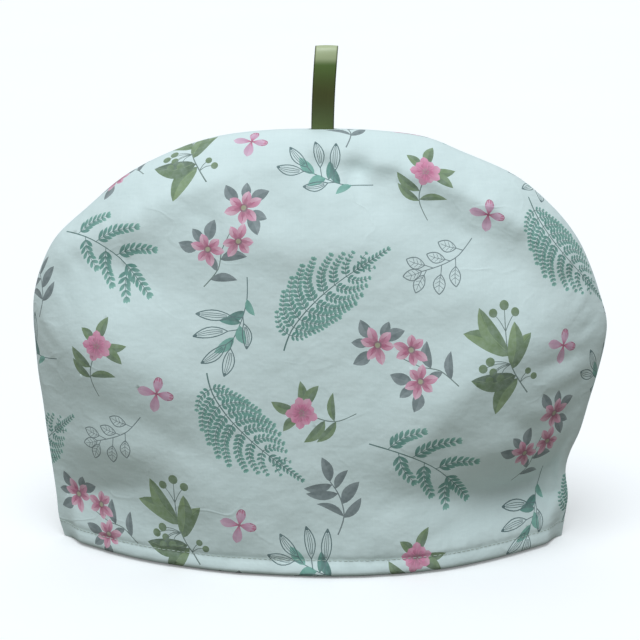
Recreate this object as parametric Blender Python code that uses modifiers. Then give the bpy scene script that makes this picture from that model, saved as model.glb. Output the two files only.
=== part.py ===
"""Tea cosy: two padded, printed cotton panels sewn together round a domed edge,
standing open on the hem, with a small satin ribbon loop caught in the top seam.

Metres, +Z up. The hem rests on z = 0, the width runs along X, the front faces -Y.
"""
import math

import bpy
from mathutils import Vector
from mathutils.geometry import interpolate_bezier

MM = 0.001

# ---------------------------------------------------------------- sizes
HEM_HALF_DEPTH = 66.0 * MM      # how far each panel stands out from the seam plane at the hem
WALL = 6.0 * MM                 # outer cloth, wadding and inner face together
SEAM_HALF_GAP = 0.15 * MM       # the panels meet 0.3 mm apart
SPILL = 9.0 * MM                # the open surface runs on this far before it is trimmed
HEM_BAND = 15.0 * MM            # height of the evenly spaced rows over the turned hem
STITCH_HEIGHT = 8.3 * MM        # the topstitching draws the hem in here
STITCH_DRAW = 0.9 * MM
HEM_PUFF = 1.1 * MM             # the turned hem swells this much below the stitching

RIBBON_WIDTH = 12.7 * MM
RIBBON_THICK = 1.0 * MM
RIBBON_X = 1.4 * MM             # middle of the loop where it leaves the seam
RIBBON_LEAN = 2.4 * MM          # how far its top has moved to the right
RIBBON_FOOT = 235.0 * MM
RIBBON_TOP = 289.0 * MM
SLOT_WIDTH = 13.7 * MM          # the gap left for the ribbon in the seam
SLOT_HALF_DEPTH = 1.5 * MM

# The domed edge: height, reach to the left, reach to the right (mm).
EDGE = (
    # z,     left,  right
    (0.0,    151.0, 143.0),
    (12.0,   154.0, 144.5),
    (25.0,   154.9, 145.8),
    (40.0,   156.4, 144.0),
    (51.0,   157.6, 146.0),
    (65.0,   159.2, 151.6),
    (83.0,   160.9, 156.2),
    (101.0,  163.0, 160.8),
    (119.0,  164.0, 164.3),
    (132.0,  164.6, 164.6),
    (147.0,  163.6, 160.2),
    (164.0,  158.6, 154.0),
    (181.0,  149.4, 145.4),
    (198.0,  131.0, 131.4),
    (215.5,  109.9, 109.9),
    (229.0,  84.0,  80.0),
    (237.5,  58.0,  58.0),
    (241.2,  28.0,  28.0),
)
EDGE_TOP = 241.8

# Soft troughs (depth > 0) and ridges (depth < 0) in the cloth, each along a
# curve through three points of the panel (mm), with its half width (mm).
FRONT_FOLDS = (
    # x0,    z0,    x1,    z1,    x2,    z2,    depth, width
    (147.0,  44.0,  112.0, 32.0,  44.0,  45.0,  8.5,   10.0),
    (150.0,  74.0,  120.0, 66.0,  70.0,  74.0,  -3.5,  16.0),
    (-158.0, 29.0,  -121.0, 39.0, -70.0, 37.0,  5.5,   9.5),
    (-161.0, 60.0,  -126.0, 66.0, -84.0, 62.0,  -2.2,  14.0),
    (-156.0, 130.0, -84.0, 112.0, -18.0, 64.0,  -2.8,  19.0),
    (44.0,   64.0,  86.0,  112.0, 138.0, 156.0, -2.6,  18.0),
    (-120.0, 92.0,  -84.0, 78.0,  -46.0, 60.0,  2.0,   15.0),
    (160.0,  126.0, 138.0, 118.0, 112.0, 116.0, 2.2,   6.0),
    (159.0,  108.0, 136.0, 99.0,  106.0, 98.0,  2.4,   6.5),
    (156.0,  90.0,  138.0, 82.0,  110.0, 80.0,  2.6,   7.0),
    (108.0,  86.0,  122.0, 72.0,  132.0, 58.0,  1.8,   7.0),
    (56.0,   228.0, 112.0, 203.0, 148.0, 160.0, 1.7,   8.0),
    (4.0,    238.0, 14.0,  226.0, 20.0,  214.0, 2.0,   6.0),
    (30.0,   236.0, 26.0,  226.0, 16.0,  216.0, 1.6,   5.0),
    (-40.0,  238.0, -32.0, 224.0, -14.0, 216.0, 1.6,   7.0),
    (-96.0,  222.0, -98.0, 208.0, -94.0, 192.0, 1.5,   7.0),
    (-2.0,   120.0, -3.0,  70.0,  -2.0,  26.0,  -1.0,  28.0),
)
BACK_FOLDS = (
    # x0,    z0,    x1,    z1,    x2,    z2,    depth, width
    (146.0,  44.0,  120.0, 33.0,  80.0,  35.0,  5.5,   9.0),
    (-158.0, 30.0,  -128.0, 30.0, -90.0, 27.0,  4.0,   9.0),
    (140.0,  120.0, 70.0,  92.0,  20.0,  66.0,  -2.4,  20.0),
    (130.0,  84.0,  84.0,  62.0,  44.0,  44.0,  2.2,   17.0),
    (-150.0, 118.0, -122.0, 104.0, -96.0, 100.0, 2.4,  7.5),
    (-40.0,  236.0, -38.0, 226.0, -30.0, 214.0, 1.6,   6.0),
    (70.0,   230.0, 78.0,  218.0, 80.0,  204.0, 1.5,   6.0),
    (0.0,    128.0, -6.0,  78.0,  -4.0,  30.0,  -2.0,  34.0),
)

# Half opening of the ribbon loop at each height (mm): it leaves the seam
# closed, swells, and folds over at the top.
LOOP = (
    # z,     half opening of the middle of the ribbon
    (235.0,  0.65),
    (243.0,  0.65),
    (249.0,  1.5),
    (257.0,  3.4),
    (266.0,  5.0),
    (274.0,  5.7),
    (281.0,  5.2),
    (285.6,  3.7),
    (287.9,  1.9),
)
LOOP_TOP = 288.5

ACROSS = 46                     # cells across a panel
UP = 30                         # cells up a panel above the hem band
HEM_ROWS = (0.0, 2.4, 5.4, 8.3, 11.2)   # heights of the rows over the hem (mm)
SHOULDER = 0.36                 # how far along the edge, hem to hem, the left shoulder lies


# ---------------------------------------------------------------- curves
def spline(points, steps):
    """A smooth curve through the points, as a list of (x, z)."""
    out = []
    last = len(points) - 1
    for i in range(last):
        before, a, b, after = points[max(i - 1, 0)], points[i], points[i + 1], points[min(i + 2, last)]
        for k in range(steps):
            f = k / steps
            out.append(tuple(
                0.5 * (2 * q + (r - p) * f + (2 * p - 5 * q + 4 * r - s) * f * f + (3 * q - p - 3 * r + s) * f ** 3)
                for p, q, r, s in zip(before, a, b, after)))
    out.append(tuple(points[last]))
    return out


def edge_curve():
    left = [(-row[1] * MM, row[0] * MM) for row in EDGE]
    right = [(row[2] * MM, row[0] * MM) for row in reversed(EDGE)]
    return spline(left + [(0.0, EDGE_TOP * MM)] + right, 12)


def lengths(curve):
    total = [0.0]
    for a, b in zip(curve, curve[1:]):
        total.append(total[-1] + math.dist(a, b))
    return total


def along(curve, total, where):
    """The point of the curve at this length along it."""
    where = min(max(where, 0.0), total[-1])
    low, high = 0, len(total) - 1
    while high - low > 1:
        mid = (low + high) // 2
        if total[mid] <= where:
            low = mid
        else:
            high = mid
    f = (where - total[low]) / max(total[high] - total[low], 1e-12)
    return tuple(p + (q - p) * f for p, q in zip(curve[low], curve[high]))


def at_height(curve, z, side):
    """x of the edge at height z on the left (-1) or right (+1) side."""
    for a, b in zip(curve, curve[1:]):
        if a[0] * side > 0 and (a[1] - z) * (b[1] - z) <= 0 and a[1] != b[1]:
            return a[0] + (b[0] - a[0]) * (z - a[1]) / (b[1] - a[1])
    return curve[0 if side < 0 else -1][0]


def smooth(low, high, value):
    f = min(max((value - low) / (high - low), 0.0), 1.0)
    return f * f * (3 - 2 * f)


# ---------------------------------------------------------------- one panel
class Panel:
    def __init__(self, folds):
        self.curve = edge_curve()
        self.total = lengths(self.curve)
        self.polar = sorted((math.atan2(z, x), math.hypot(x, z)) for x, z in self.curve)
        self.folds = [(self.fold_line(row), row[6] * MM, row[7] * MM) for row in folds]
        self.rows = {z: (at_height(self.curve, z * MM, -1), at_height(self.curve, z * MM, 1)) for z in HEM_ROWS}
        self.feet = [(at_height(self.curve, HEM_BAND, side), HEM_BAND) for side in (-1, 1)]
        self.starts = [self.length_at(foot) for foot in self.feet]

    @staticmethod
    def fold_line(row):
        a, b, c = (Vector((row[i] * MM, row[i + 1] * MM, 0.0)) for i in (0, 2, 4))
        handle = 2 * b - (a + c) / 2
        return interpolate_bezier(a, a + (handle - a) * 2 / 3, c + (handle - c) * 2 / 3, c, 9)

    def reach(self, angle):
        """Distance from the middle of the hem to the edge, in this direction."""
        polar = self.polar
        low, high = 0, len(polar) - 1
        if angle <= polar[0][0]:
            return polar[0][1]
        if angle >= polar[-1][0]:
            return polar[-1][1]
        while high - low > 1:
            mid = (low + high) // 2
            if polar[mid][0] <= angle:
                low = mid
            else:
                high = mid
        f = (angle - polar[low][0]) / max(polar[high][0] - polar[low][0], 1e-12)
        return polar[low][1] + (polar[high][1] - polar[low][1]) * f

    def fold_depth(self, x, z):
        depth = 0.0
        for line, amount, width in self.folds:
            near, place = 1e9, 0.0
            for i, (a, b) in enumerate(zip(line, line[1:])):
                dx, dz = b.x - a.x, b.y - a.y
                f = min(max(((x - a.x) * dx + (z - a.y) * dz) / (dx * dx + dz * dz), 0.0), 1.0)
                gap = math.hypot(x - a.x - dx * f, z - a.y - dz * f)
                if gap < near:
                    near, place = gap, (i + f) / (len(line) - 1)
            if near < 3 * width:
                # a soft crease: rounded at its bottom, with long easy sides
                crease = math.exp(-1.25 * (math.hypot(near / width, 0.3) - 0.3))
                depth += amount * crease * smooth(3.0, 2.0, near / width) * smooth(1.08, 0.55, place)
        return depth

    def depth(self, x, z):
        """How far the outer face stands in front of the seam plane at (x, z)."""
        angle = math.atan2(max(z, 0.0), x)
        ratio = min(math.hypot(x, max(z, 0.0)) / self.reach(angle), 1.0)
        lift = smooth(0.0, 1.15, min(angle, math.pi - angle))
        full = 2.0 + 0.8 * lift
        power = 1.02 - 0.50 * lift
        base = HEM_HALF_DEPTH * (1 - ratio ** full) ** power
        away = 1 - smooth(0.86, 1.0, ratio)
        out = base - self.fold_depth(x, z) * (0.25 + 0.75 * away) * smooth(0.0, 0.10, 1 - ratio)
        side = smooth(40 * MM, 120 * MM, abs(x)) * smooth(0.0, 0.25, 1 - ratio)
        out += 4.0 * MM * side * math.exp(-((z - 100 * MM) / (48 * MM)) ** 2)
        rim = smooth(0.0, 0.08, 1 - ratio)
        out -= STITCH_DRAW * rim * math.exp(-((z - STITCH_HEIGHT) / (2.2 * MM)) ** 2)
        out += HEM_PUFF * rim * (math.exp(-((z - 4.2 * MM) / (3.0 * MM)) ** 2) - 0.9 * math.exp(-(z / (1.6 * MM)) ** 2))
        return max(out, 0.0)

    def place(self, across, up):
        """(x, z) of the grid point `across` in -1..1 and row `up`."""
        low = len(HEM_ROWS)
        part = (across + 1) / 2
        if up < low:
            left, right = self.rows[HEM_ROWS[up]]
            return left + (right - left) * part, HEM_ROWS[up] * MM
        v = (up - low) / UP
        t = 0.3 * v + 0.7 * math.sin(v * math.pi / 2)
        whole = self.total[-1]
        start_left, start_right = self.starts
        shoulder_left, shoulder_right = SHOULDER * whole, (1 - SHOULDER) * whole
        side_l = along(self.curve, self.total, start_left + (shoulder_left - start_left) * t)
        side_r = along(self.curve, self.total, start_right + (shoulder_right - start_right) * t)
        top = along(self.curve, self.total, shoulder_left + (shoulder_right - shoulder_left) * part)
        corner_l = along(self.curve, self.total, shoulder_left)
        corner_r = along(self.curve, self.total, shoulder_right)
        foot_l, foot_r = self.feet
        out = []
        for k in (0, 1):
            hem = foot_l[k] + (foot_r[k] - foot_l[k]) * part
            patch = (1 - t) * hem + t * top[k] + (1 - part) * side_l[k] + part * side_r[k]
            patch -= (1 - part) * ((1 - t) * foot_l[k] + t * corner_l[k]) + part * ((1 - t) * foot_r[k] + t * corner_r[k])
            out.append(patch)
        return tuple(out)

    def length_at(self, point):
        return self.total[min(range(len(self.curve)), key=lambda i: math.dist(self.curve[i], point))]


def panel_mesh(name, folds, facing):
    """An open sheet for the outer face. Its rim runs on past the seam plane and
    below the floor, so that the trimming leaves flat meeting faces."""
    panel = Panel(folds)
    rows = len(HEM_ROWS) + UP
    verts, faces, index = [], [], {}

    def vertex(key, x, y, z):
        if key not in index:
            index[key] = len(verts)
            verts.append((x, y * facing, z))
        return index[key]

    for j in range(rows + 1):
        for i in range(ACROSS + 1):
            u = -1 + 2 * i / ACROSS
            s = 0.35 * u + 0.65 * math.sin(u * math.pi / 2)
            x, z = panel.place(s, j)
            border = i in (0, ACROSS) or j == rows
            y = 0.0 if border else panel.depth(x, z)
            vertex((i, j), x, y, z)
            if border:
                vertex((i, j, "spill"), x, -SPILL, z)
            if j == 0:
                vertex((i, -1), x, y, -SPILL)
                if i in (0, ACROSS):
                    vertex((i, -1, "spill"), x, -SPILL, -SPILL)

    def quad(a, b, c, d):
        ring = [index[k] for k in (a, b, c, d)]
        faces.append(ring if facing > 0 else ring[::-1])

    for j in range(-1, rows):
        for i in range(ACROSS):
            quad((i, j), (i, j + 1), (i + 1, j + 1), (i + 1, j))
        quad((0, j, "spill"), (0, j + 1, "spill"), (0, j + 1), (0, j))
        quad((ACROSS, j), (ACROSS, j + 1), (ACROSS, j + 1, "spill"), (ACROSS, j, "spill"))
    for i in range(ACROSS):
        quad((i, rows), (i, rows, "spill"), (i + 1, rows, "spill"), (i + 1, rows))

    mesh = bpy.data.meshes.new(name)
    mesh.from_pydata(verts, [], faces)
    mesh.update()
    return mesh


# ---------------------------------------------------------------- scene pieces
def material(name, colour, roughness):
    mat = bpy.data.materials.new(name)
    mat.use_nodes = True
    shader = mat.node_tree.nodes["Principled BSDF"]
    shader.inputs["Base Color"].default_value = (*colour, 1.0)
    shader.inputs["Roughness"].default_value = roughness
    return mat


def box(name, low, high, collection):
    corners = [(x, y, z) for x in (low[0], high[0]) for y in (low[1], high[1]) for z in (low[2], high[2])]
    faces = [(0, 1, 3, 2), (4, 6, 7, 5), (0, 4, 5, 1), (2, 3, 7, 6), (0, 2, 6, 4), (1, 5, 7, 3)]
    mesh = bpy.data.meshes.new(name)
    mesh.from_pydata(corners, [], faces)
    mesh.update()
    obj = bpy.data.objects.new(name, mesh)
    obj.display_type = "WIRE"
    obj.hide_render = True
    collection.objects.link(obj)
    return obj


def cut(obj, cutter):
    mod = obj.modifiers.new("trim " + cutter.name, "BOOLEAN")
    mod.operation = "DIFFERENCE"
    mod.solver = "EXACT"
    mod.object = cutter


def add_panel(name, folds, facing, mat, parts, cutters):
    obj = bpy.data.objects.new(name, panel_mesh(name, folds, facing))
    parts.objects.link(obj)
    obj.data.materials.append(mat)
    wall = obj.modifiers.new("wall", "SOLIDIFY")
    wall.thickness = WALL
    wall.offset = -1.0
    wall.use_even_offset = True
    wall.use_quality_normals = True
    far = 0.4
    # facing +1 is the back panel (y > 0), facing -1 the front panel (y < 0)
    if facing > 0:
        beyond = box(name + " seam", (-far, -far, -far), (far, SEAM_HALF_GAP, far), cutters)
    else:
        beyond = box(name + " seam", (-far, -SEAM_HALF_GAP, -far), (far, far, far), cutters)
    cut(obj, beyond)
    cut(obj, box(name + " floor", (-far, -far, -far), (far, far, 0.0), cutters))
    cut(obj, box(name + " slot", (RIBBON_X - SLOT_WIDTH / 2, -SLOT_HALF_DEPTH, 0.228),
                 (RIBBON_X + SLOT_WIDTH / 2, SLOT_HALF_DEPTH, 0.262), cutters))
    return obj


def add_ribbon(name, mat, parts):
    """A flat ribbon taken up, folded over and down again."""
    half = spline([(row[1] * MM, row[0] * MM) for row in LOOP] + [(0.0, LOOP_TOP * MM)], 3)
    path = [(-y, z) for y, z in half] + [(y, z) for y, z in reversed(half[:-1])]
    across = 4
    verts, faces = [], []
    for y, z in path:
        rise = (z - RIBBON_FOOT) / (RIBBON_TOP - RIBBON_FOOT)
        middle = RIBBON_X + RIBBON_LEAN * rise * rise
        for i in range(across + 1):
            verts.append((middle + RIBBON_WIDTH * (i / across - 0.5), y, z))
    for j in range(len(path) - 1):
        for i in range(across):
            a = j * (across + 1) + i
            faces.append((a, a + 1, a + across + 2, a + across + 1))
    mesh = bpy.data.meshes.new(name)
    mesh.from_pydata(verts, [], faces)
    mesh.update()
    obj = bpy.data.objects.new(name, mesh)
    obj.data.materials.append(mat)
    parts.objects.link(obj)
    wall = obj.modifiers.new("ribbon thickness", "SOLIDIFY")
    wall.thickness = RIBBON_THICK
    wall.offset = 0.0
    wall.use_even_offset = True
    return obj


def build():
    for obj in list(bpy.data.objects):
        bpy.data.objects.remove(obj, do_unlink=True)
    scene = bpy.context.scene
    parts = bpy.data.collections.new("tea cosy")
    cutters = bpy.data.collections.new("cutters")
    scene.collection.children.link(parts)
    scene.collection.children.link(cutters)
    cutters.hide_render = True

    cotton = material("printed cotton", (0.74, 0.77, 0.74), 0.9)
    satin = material("olive satin ribbon", (0.10, 0.13, 0.045), 0.45)
    add_panel("panel_front", FRONT_FOLDS, -1, cotton, parts, cutters)
    add_panel("panel_back", BACK_FOLDS, 1, cotton, parts, cutters)
    add_ribbon("ribbon_loop", satin, parts)


build()
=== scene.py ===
"""A tea cosy: two padded panels of printed cotton, seamed together round a domed edge and
topstitched along the hem, with a satin ribbon loop caught in the top seam.

The print is worked out as flat drawings on the cut cloth (a across, b up from the hem, in
millimetres) and the cloth is then laid over the shape of the cosy.
"""
import math
import random

import bpy
import numpy as np
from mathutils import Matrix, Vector
from mathutils.geometry import delaunay_2d_cdt


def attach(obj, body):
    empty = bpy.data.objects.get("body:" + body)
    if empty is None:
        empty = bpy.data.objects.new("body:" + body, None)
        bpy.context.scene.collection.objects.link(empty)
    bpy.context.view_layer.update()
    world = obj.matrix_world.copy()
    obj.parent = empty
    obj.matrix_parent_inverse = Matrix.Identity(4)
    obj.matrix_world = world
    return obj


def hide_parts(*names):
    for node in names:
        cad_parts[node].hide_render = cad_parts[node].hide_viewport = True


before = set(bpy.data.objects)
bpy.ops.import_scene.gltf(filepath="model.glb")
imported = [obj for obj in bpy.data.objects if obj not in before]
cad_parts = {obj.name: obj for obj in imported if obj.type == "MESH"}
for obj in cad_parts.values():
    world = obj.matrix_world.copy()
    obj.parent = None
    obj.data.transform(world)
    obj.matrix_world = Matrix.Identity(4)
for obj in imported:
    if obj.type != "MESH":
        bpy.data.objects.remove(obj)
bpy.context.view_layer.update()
MM = 0.001

# ---------------------------------------- the cut of the panels (mm)
HEM_HALF_DEPTH = 66.0       # how far a panel stands out from the seam plane at the hem
WALL = 6.0                  # cloth, wadding and inner face
SEAM_GAP = 0.03             # how far a panel keeps from the seam plane
SIDE_FULLNESS = 4.0         # how much fuller the wadding is towards the sides, most at this height:
SIDE_HEIGHT, SIDE_SPREAD = 100, 48
STITCH_HEIGHT, STITCH_DRAW = 9.6, 0.8
HEM_SWELL, HEM_ROUNDING = 2.4, 1.2
LONG_WAVES, SHORT_WAVES, GATHERS, PUCKERS = 0.55, 0.16, 0.30, 0.5       # heights of the cloth's unevenness
EDGE = (
    # height, reach left, reach right
    (0,     151,   143),
    (12,    154,   144.5),
    (25,    154.9, 145.8),
    (40,    156.4, 144),
    (51,    157.6, 146),
    (65,    159.2, 151.6),
    (83,    160.9, 156.2),
    (101,   163,   160.8),
    (119,   164,   164.3),
    (132,   164.6, 164.6),
    (147,   163.6, 160.2),
    (164,   158.6, 154),
    (181,   149.4, 145.4),
    (198,   131,   131.4),
    (215.5, 109.9, 109.9),
    (229,   84,    80),
    (237.5, 58,    58),
    (241.2, 28,    28),
)
EDGE_TOP = 241.8

# How far apart the cloth's points lie: on the outer face, near the hem, on the inner face, on the edge.
OUTER_STEP, HEM_STEP, INNER_STEP, EDGE_STEP = 2.6, 1.5, 9.0, 1.8
OUTER_CLEAR, INNER_CLEAR = 0.8, 16.0        # how far those inside keep from the edge
HEM_BAND = 24.0                             # how high the hem's step reaches

RIBBON_WIDTH, RIBBON_THICK, RIBBON_DISH = 12.7, 0.36, 0.35
RIBBON_X, RIBBON_LEAN = 1.4, 2.4    # where it leaves the seam, and how far its top is to the right
RIBBON_FOOT, RIBBON_TOP = 235.0, 289.0
RIBBON_MOUTH = 1.2          # how far the seam parts on each side of it
LOOP = (
    # z,    half opening of the ribbon's middle
    (235,   0.65),
    (243,   0.65),
    (249,   1.5),
    (257,   3.4),
    (266,   5),
    (274,   5.7),
    (281,   5.2),
    (285.6, 3.7),
    (287.9, 1.9),
)
LOOP_TOP = 288.5

# Soft troughs (depth above 0) and ridges (below 0), each along a bent line through three points.
FRONT_FOLDS = (
    # x0,  z0,  x1,   z1,  x2,  z2,  depth, half width
    (147,  30,  112,  34,  44,  45,  4,    10),
    (150,  74,  120,  66,  70,  74,  -3.5, 16),
    (-158, 26,  -121, 38,  -78, 54,  2.6,  9.5),
    (-161, 60,  -126, 66,  -84, 62,  -2.2, 14),
    (-156, 130, -84,  112, -18, 64,  -1.7, 19),
    (44,   64,  86,   112, 138, 156, -2.6, 18),
    (-120, 92,  -84,  78,  -46, 60,  2,    15),
    (160,  126, 138,  118, 112, 116, 2.2,  6),
    (159,  108, 136,  99,  106, 98,  2.4,  6.5),
    (156,  90,  138,  82,  110, 80,  2.6,  7),
    (108,  86,  122,  72,  132, 58,  1.8,  7),
    (56,   228, 112,  203, 148, 160, 1.7,  8),
    (4,    238, 14,   226, 20,  214, 2,    6),
    (30,   236, 26,   226, 16,  216, 1.6,  5),
    (-40,  238, -32,  224, -14, 216, 1.6,  7),
    (-96,  222, -98,  208, -94, 192, 1.5,  7),
    (-2,   120, -3,   70,  -2,  26,  -1,   28),
)
BACK_FOLDS = (
    # x0,  z0,  x1,   z1,  x2,  z2,  depth, half width
    (146,  44,  120,  33,  80,  35,  5.5,  9),
    (-158, 30,  -128, 30,  -90, 27,  4,    9),
    (140,  120, 70,   92,  20,  66,  -2.4, 20),
    (130,  84,  84,   62,  44,  44,  2.2,  17),
    (-150, 118, -122, 104, -96, 100, 2.4,  7.5),
    (-40,  236, -38,  226, -30, 214, 1.6,  6),
    (70,   230, 78,   218, 80,  204, 1.5,  6),
    (0,    128, -6,   78,  -4,  30,  -2,   34),
)
# Softer folds and small creases that only the cloth shows.
FRONT_CREASES = (
    # x0,  z0,  x1,   z1,  x2,   z2,  depth, half width
    (-30,  229, -96,  204, -144, 158, -5,   13),
    (-154, 166, -110, 170, -40,  146, 4.8,  17),
    (-164, 140, -90,  118, -24,  62,  -0.8, 17),
    (-158, 28,  -116, 44,  -72,  62,  1.8,  14),
    (-152, 92,  -112, 90,  -66,  70,  1.4,  15),
    (126,  132, 74,   108, 20,   54,  -3.6, 17),
    (148,  42,  96,   47,  8,    52,  7.5,  24),
    (148,  30,  112,  36,  30,   46,  5.4,  10),
    (148,  10,  96,   9,   8,    8,   -7.6, 16),
    (-154, 9,   -112, 9,   -36,  8,   -6,   16),
    (150,  82,  122,  78,  84,   86,  1.8,  12),
    (-14,  238, 0,    228, 8,    210, 4.6,  6.5),
    (27,   238, 20,   226, 24,   206, 4.6,  6.5),
    (-50,  236, -42,  226, -52,  212, 2.4,  7),
    (50,   236, 42,   224, 34,   212, 2.6,  6),
    (-44,  196, -6,   184, 50,   200, -3.4, 13),
    (-30,  224, 14,   222, 56,   216, 2,    12),
    (40,   231, 104,  203, 148,  153, -6.4, 11),
    (34,   210, 92,   181, 138,  140, 5,    15),
    (162,  164, 150,  160, 122,  168, 4,    9),
    (110,  160, 80,   158, 44,   150, -1.6, 13),
    (154,  66,  138,  62,  112,  66,  0.9,  5),
    (160,  134, 146,  132, 120,  138, 1,    5),
    (160,  120, 146,  116, 118,  118, 1,    5),
    (158,  104, 144,  98,  116,  100, 1,    5),
    (128,  96,  136,  84,  140,  70,  0.8,  4),
    (88,   120, 96,   104, 110,  92,  0.6,  4),
    (90,   203, 98,   208, 108,  204, -0.8, 4),
    (74,   196, 80,   190, 92,   188, 0.6,  3.5),
    (-76,  206, -60,  198, -40,  196, 0.6,  4),
    (-40,  140, -24,  132, -12,  118, 0.4,  4),
    (12,   150, -4,   110, 0,    70,  0.9,  22),
)


# ---------------------------------------- the shape of a panel
def smooth(low, high, value):
    f = np.clip((value - low) / (high - low), 0.0, 1.0)
    return f * f * (3 - 2 * f)


def spline(points, steps):
    points = np.array(points, float)
    last = len(points) - 1
    out = []
    for i in range(last):
        p, q, r, s = points[max(i - 1, 0)], points[i], points[i + 1], points[min(i + 2, last)]
        for k in range(steps):
            f = k / steps
            out.append(0.5 * (2 * q + (r - p) * f + (2 * p - 5 * q + 4 * r - s) * f * f
                              + (3 * q - p - 3 * r + s) * f ** 3))
    out.append(points[last])
    return np.array(out)


def rays(angles):
    return np.stack([np.cos(angles), np.sin(angles)], -1)


def run_along(line):
    """How far along a line each of its points is."""
    return np.concatenate([[0], np.cumsum(np.hypot(*np.diff(line, axis=0).T))])


def crease(x, z, row, soft=False):
    """How deep a bent trough goes at (x, z): with long easy sides, or softly rounded all over."""
    a, b, c = (np.array(row[i:i + 2]) for i in (0, 2, 4))
    handle = 2 * b - (a + c) / 2
    amount, width = row[6], row[7]
    near, place = np.full(x.shape, 1e9), np.zeros(x.shape)
    steps = 10
    f = np.linspace(0, 1, steps + 1)[:, None]
    line = (1 - f) ** 2 * a + 2 * f * (1 - f) * handle + f * f * c
    for i in range(steps):
        p, d = line[i], line[i + 1] - line[i]
        g = np.clip(((x - p[0]) * d[0] + (z - p[1]) * d[1]) / (d @ d), 0, 1)
        gap = np.hypot(x - p[0] - d[0] * g, z - p[1] - d[1] * g)
        closer = gap < near
        near, place = np.where(closer, gap, near), np.where(closer, (i + g) / steps, place)
    share = near / width
    shape = np.exp(-0.9 * share ** 2) if soft else np.exp(-1.25 * (np.hypot(share, 0.3) - 0.3))
    return amount * shape * smooth(3.0, 2.0, share) * smooth(1.08, 0.55, place)


def ripples(x, z, seed, count, shortest, longest):
    """A gentle unevenness between -1 and 1, as the sum of a few crossing waves."""
    dice = random.Random(seed)
    total = np.zeros(np.shape(x))
    for _ in range(count):
        turn, length = dice.uniform(0, math.pi), dice.uniform(shortest, longest)
        phase = dice.uniform(0, 6.28)
        total += np.sin((x * math.cos(turn) + z * math.sin(turn)) * 2 * math.pi / length + phase)
    return total / math.sqrt(count) / 1.6


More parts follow.
